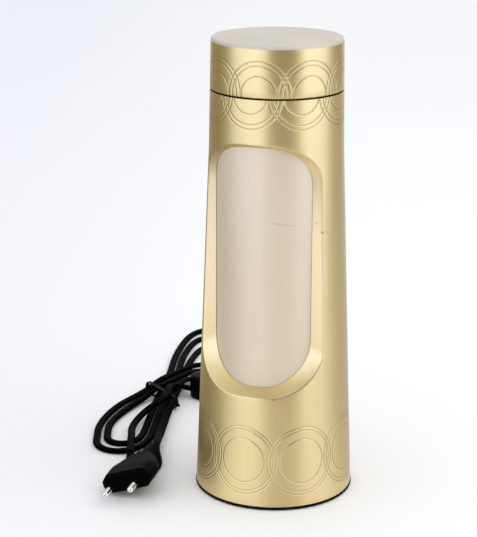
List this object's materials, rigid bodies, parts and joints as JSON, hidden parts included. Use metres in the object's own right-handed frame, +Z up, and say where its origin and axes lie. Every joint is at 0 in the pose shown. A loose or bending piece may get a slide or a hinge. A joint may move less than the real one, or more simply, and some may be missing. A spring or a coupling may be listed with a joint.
{
  "type": "table lamp",
  "caption": "Tapered tower table lamp with a tall rounded window, a shutter sleeve turned by the cap, and a tied mains lead with an inline switch and a flat plug.",
  "frame": {"origin": "centre of the tower's base on the surface that it stands on", "axes": "+Z up along the tower's axis, the window faces -Y, the cord leaves towards +Y"},
  "size_m": [0.2097, 0.3723, 0.3],
  "materials": {
    "gold_metal": "satin champagne gold metallic lacquer on drawn metal with engraved rings",
    "sleeve_metal": "satin warm beige metallic lacquer on thin sheet metal",
    "black_plastic": "moulded matte black",
    "switch_black": "moulded black with a light grain",
    "plug_black": "moulded satin black",
    "foot_rubber": "soft matte black",
    "cord_black": "satin black flexible sheath",
    "tie_black": "matte black coated wire",
    "opal_plastic": "milky opal, slightly glossy",
    "white_plastic": "heat resistant white moulding",
    "screw_steel": "zinc plated",
    "bracket_steel": "pressed sheet, zinc plated",
    "nickel_plate": "bright nickel plate",
    "contact_brass": "plain pressed brass",
    "wire_brown": "brown wire insulation",
    "wire_blue": "blue wire insulation"
  },
  "bodies": {
    "housing": {"outer_shell": "gold_metal", "base_plate": "black_plastic", "foot_1": "foot_rubber", "foot_2": "foot_rubber", "foot_3": "foot_rubber", "foot_4": "foot_rubber", "base_screw_1": "screw_steel", "base_screw_2": "screw_steel", "base_screw_3": "screw_steel", "glide_ring": "black_plastic", "diffuser_tube": "opal_plastic", "diffuser_lid": "white_plastic", "holder_bracket": "bracket_steel", "bracket_screw_1": "screw_steel", "bracket_screw_2": "screw_steel", "lampholder_body": "white_plastic", "lampholder_thread": "nickel_plate", "lampholder_contact": "contact_brass", "bulb_screw_cap": "nickel_plate", "bulb_tip_contact": "contact_brass", "bulb_housing": "white_plastic", "bulb_globe": "opal_plastic", "cord_gland": "cord_black", "cord_inside": "cord_black", "cord_clamp": "white_plastic", "clamp_screw_1": "screw_steel", "clamp_screw_2": "screw_steel", "wire_live": "wire_brown", "wire_neutral": "wire_blue", "switch_case_lower": "switch_black", "switch_case_upper": "switch_black", "switch_screw_1": "screw_steel", "switch_screw_2": "screw_steel", "switch_pin": "screw_steel", "switch_contact": "contact_brass", "plug_body": "plug_black", "plug_pin_1": "nickel_plate", "plug_pin_sleeve_1": "black_plastic", "plug_pin_2": "nickel_plate", "plug_pin_sleeve_2": "black_plastic", "cord_hank": "cord_black", "cord_plug_lead": "cord_black", "cord_switch_lead": "cord_black", "cord_lamp_lead": "cord_black", "cord_tie": "tie_black"},
    "turning_head": {"cap": "gold_metal", "sleeve_carrier": "black_plastic", "cap_screw_1": "screw_steel", "cap_screw_2": "screw_steel", "cap_screw_3": "screw_steel", "shutter_sleeve": "sleeve_metal"},
    "rocker": {"switch_rocker": "switch_black"}
  },
  "joints": [
    {"name": "cap_turn", "type": "hinge", "parent": "housing", "child": "turning_head", "pos_m": [0, 0, 0.28], "axis": [0, 0, 1], "continuous": true},
    {"name": "switch_rock", "type": "hinge", "parent": "housing", "child": "rocker", "pos_m": [-0.0776, 0.1382, 0.0142], "axis": [0.2974, -0.9548, 0], "range_deg": [0, 16]}
  ]
}
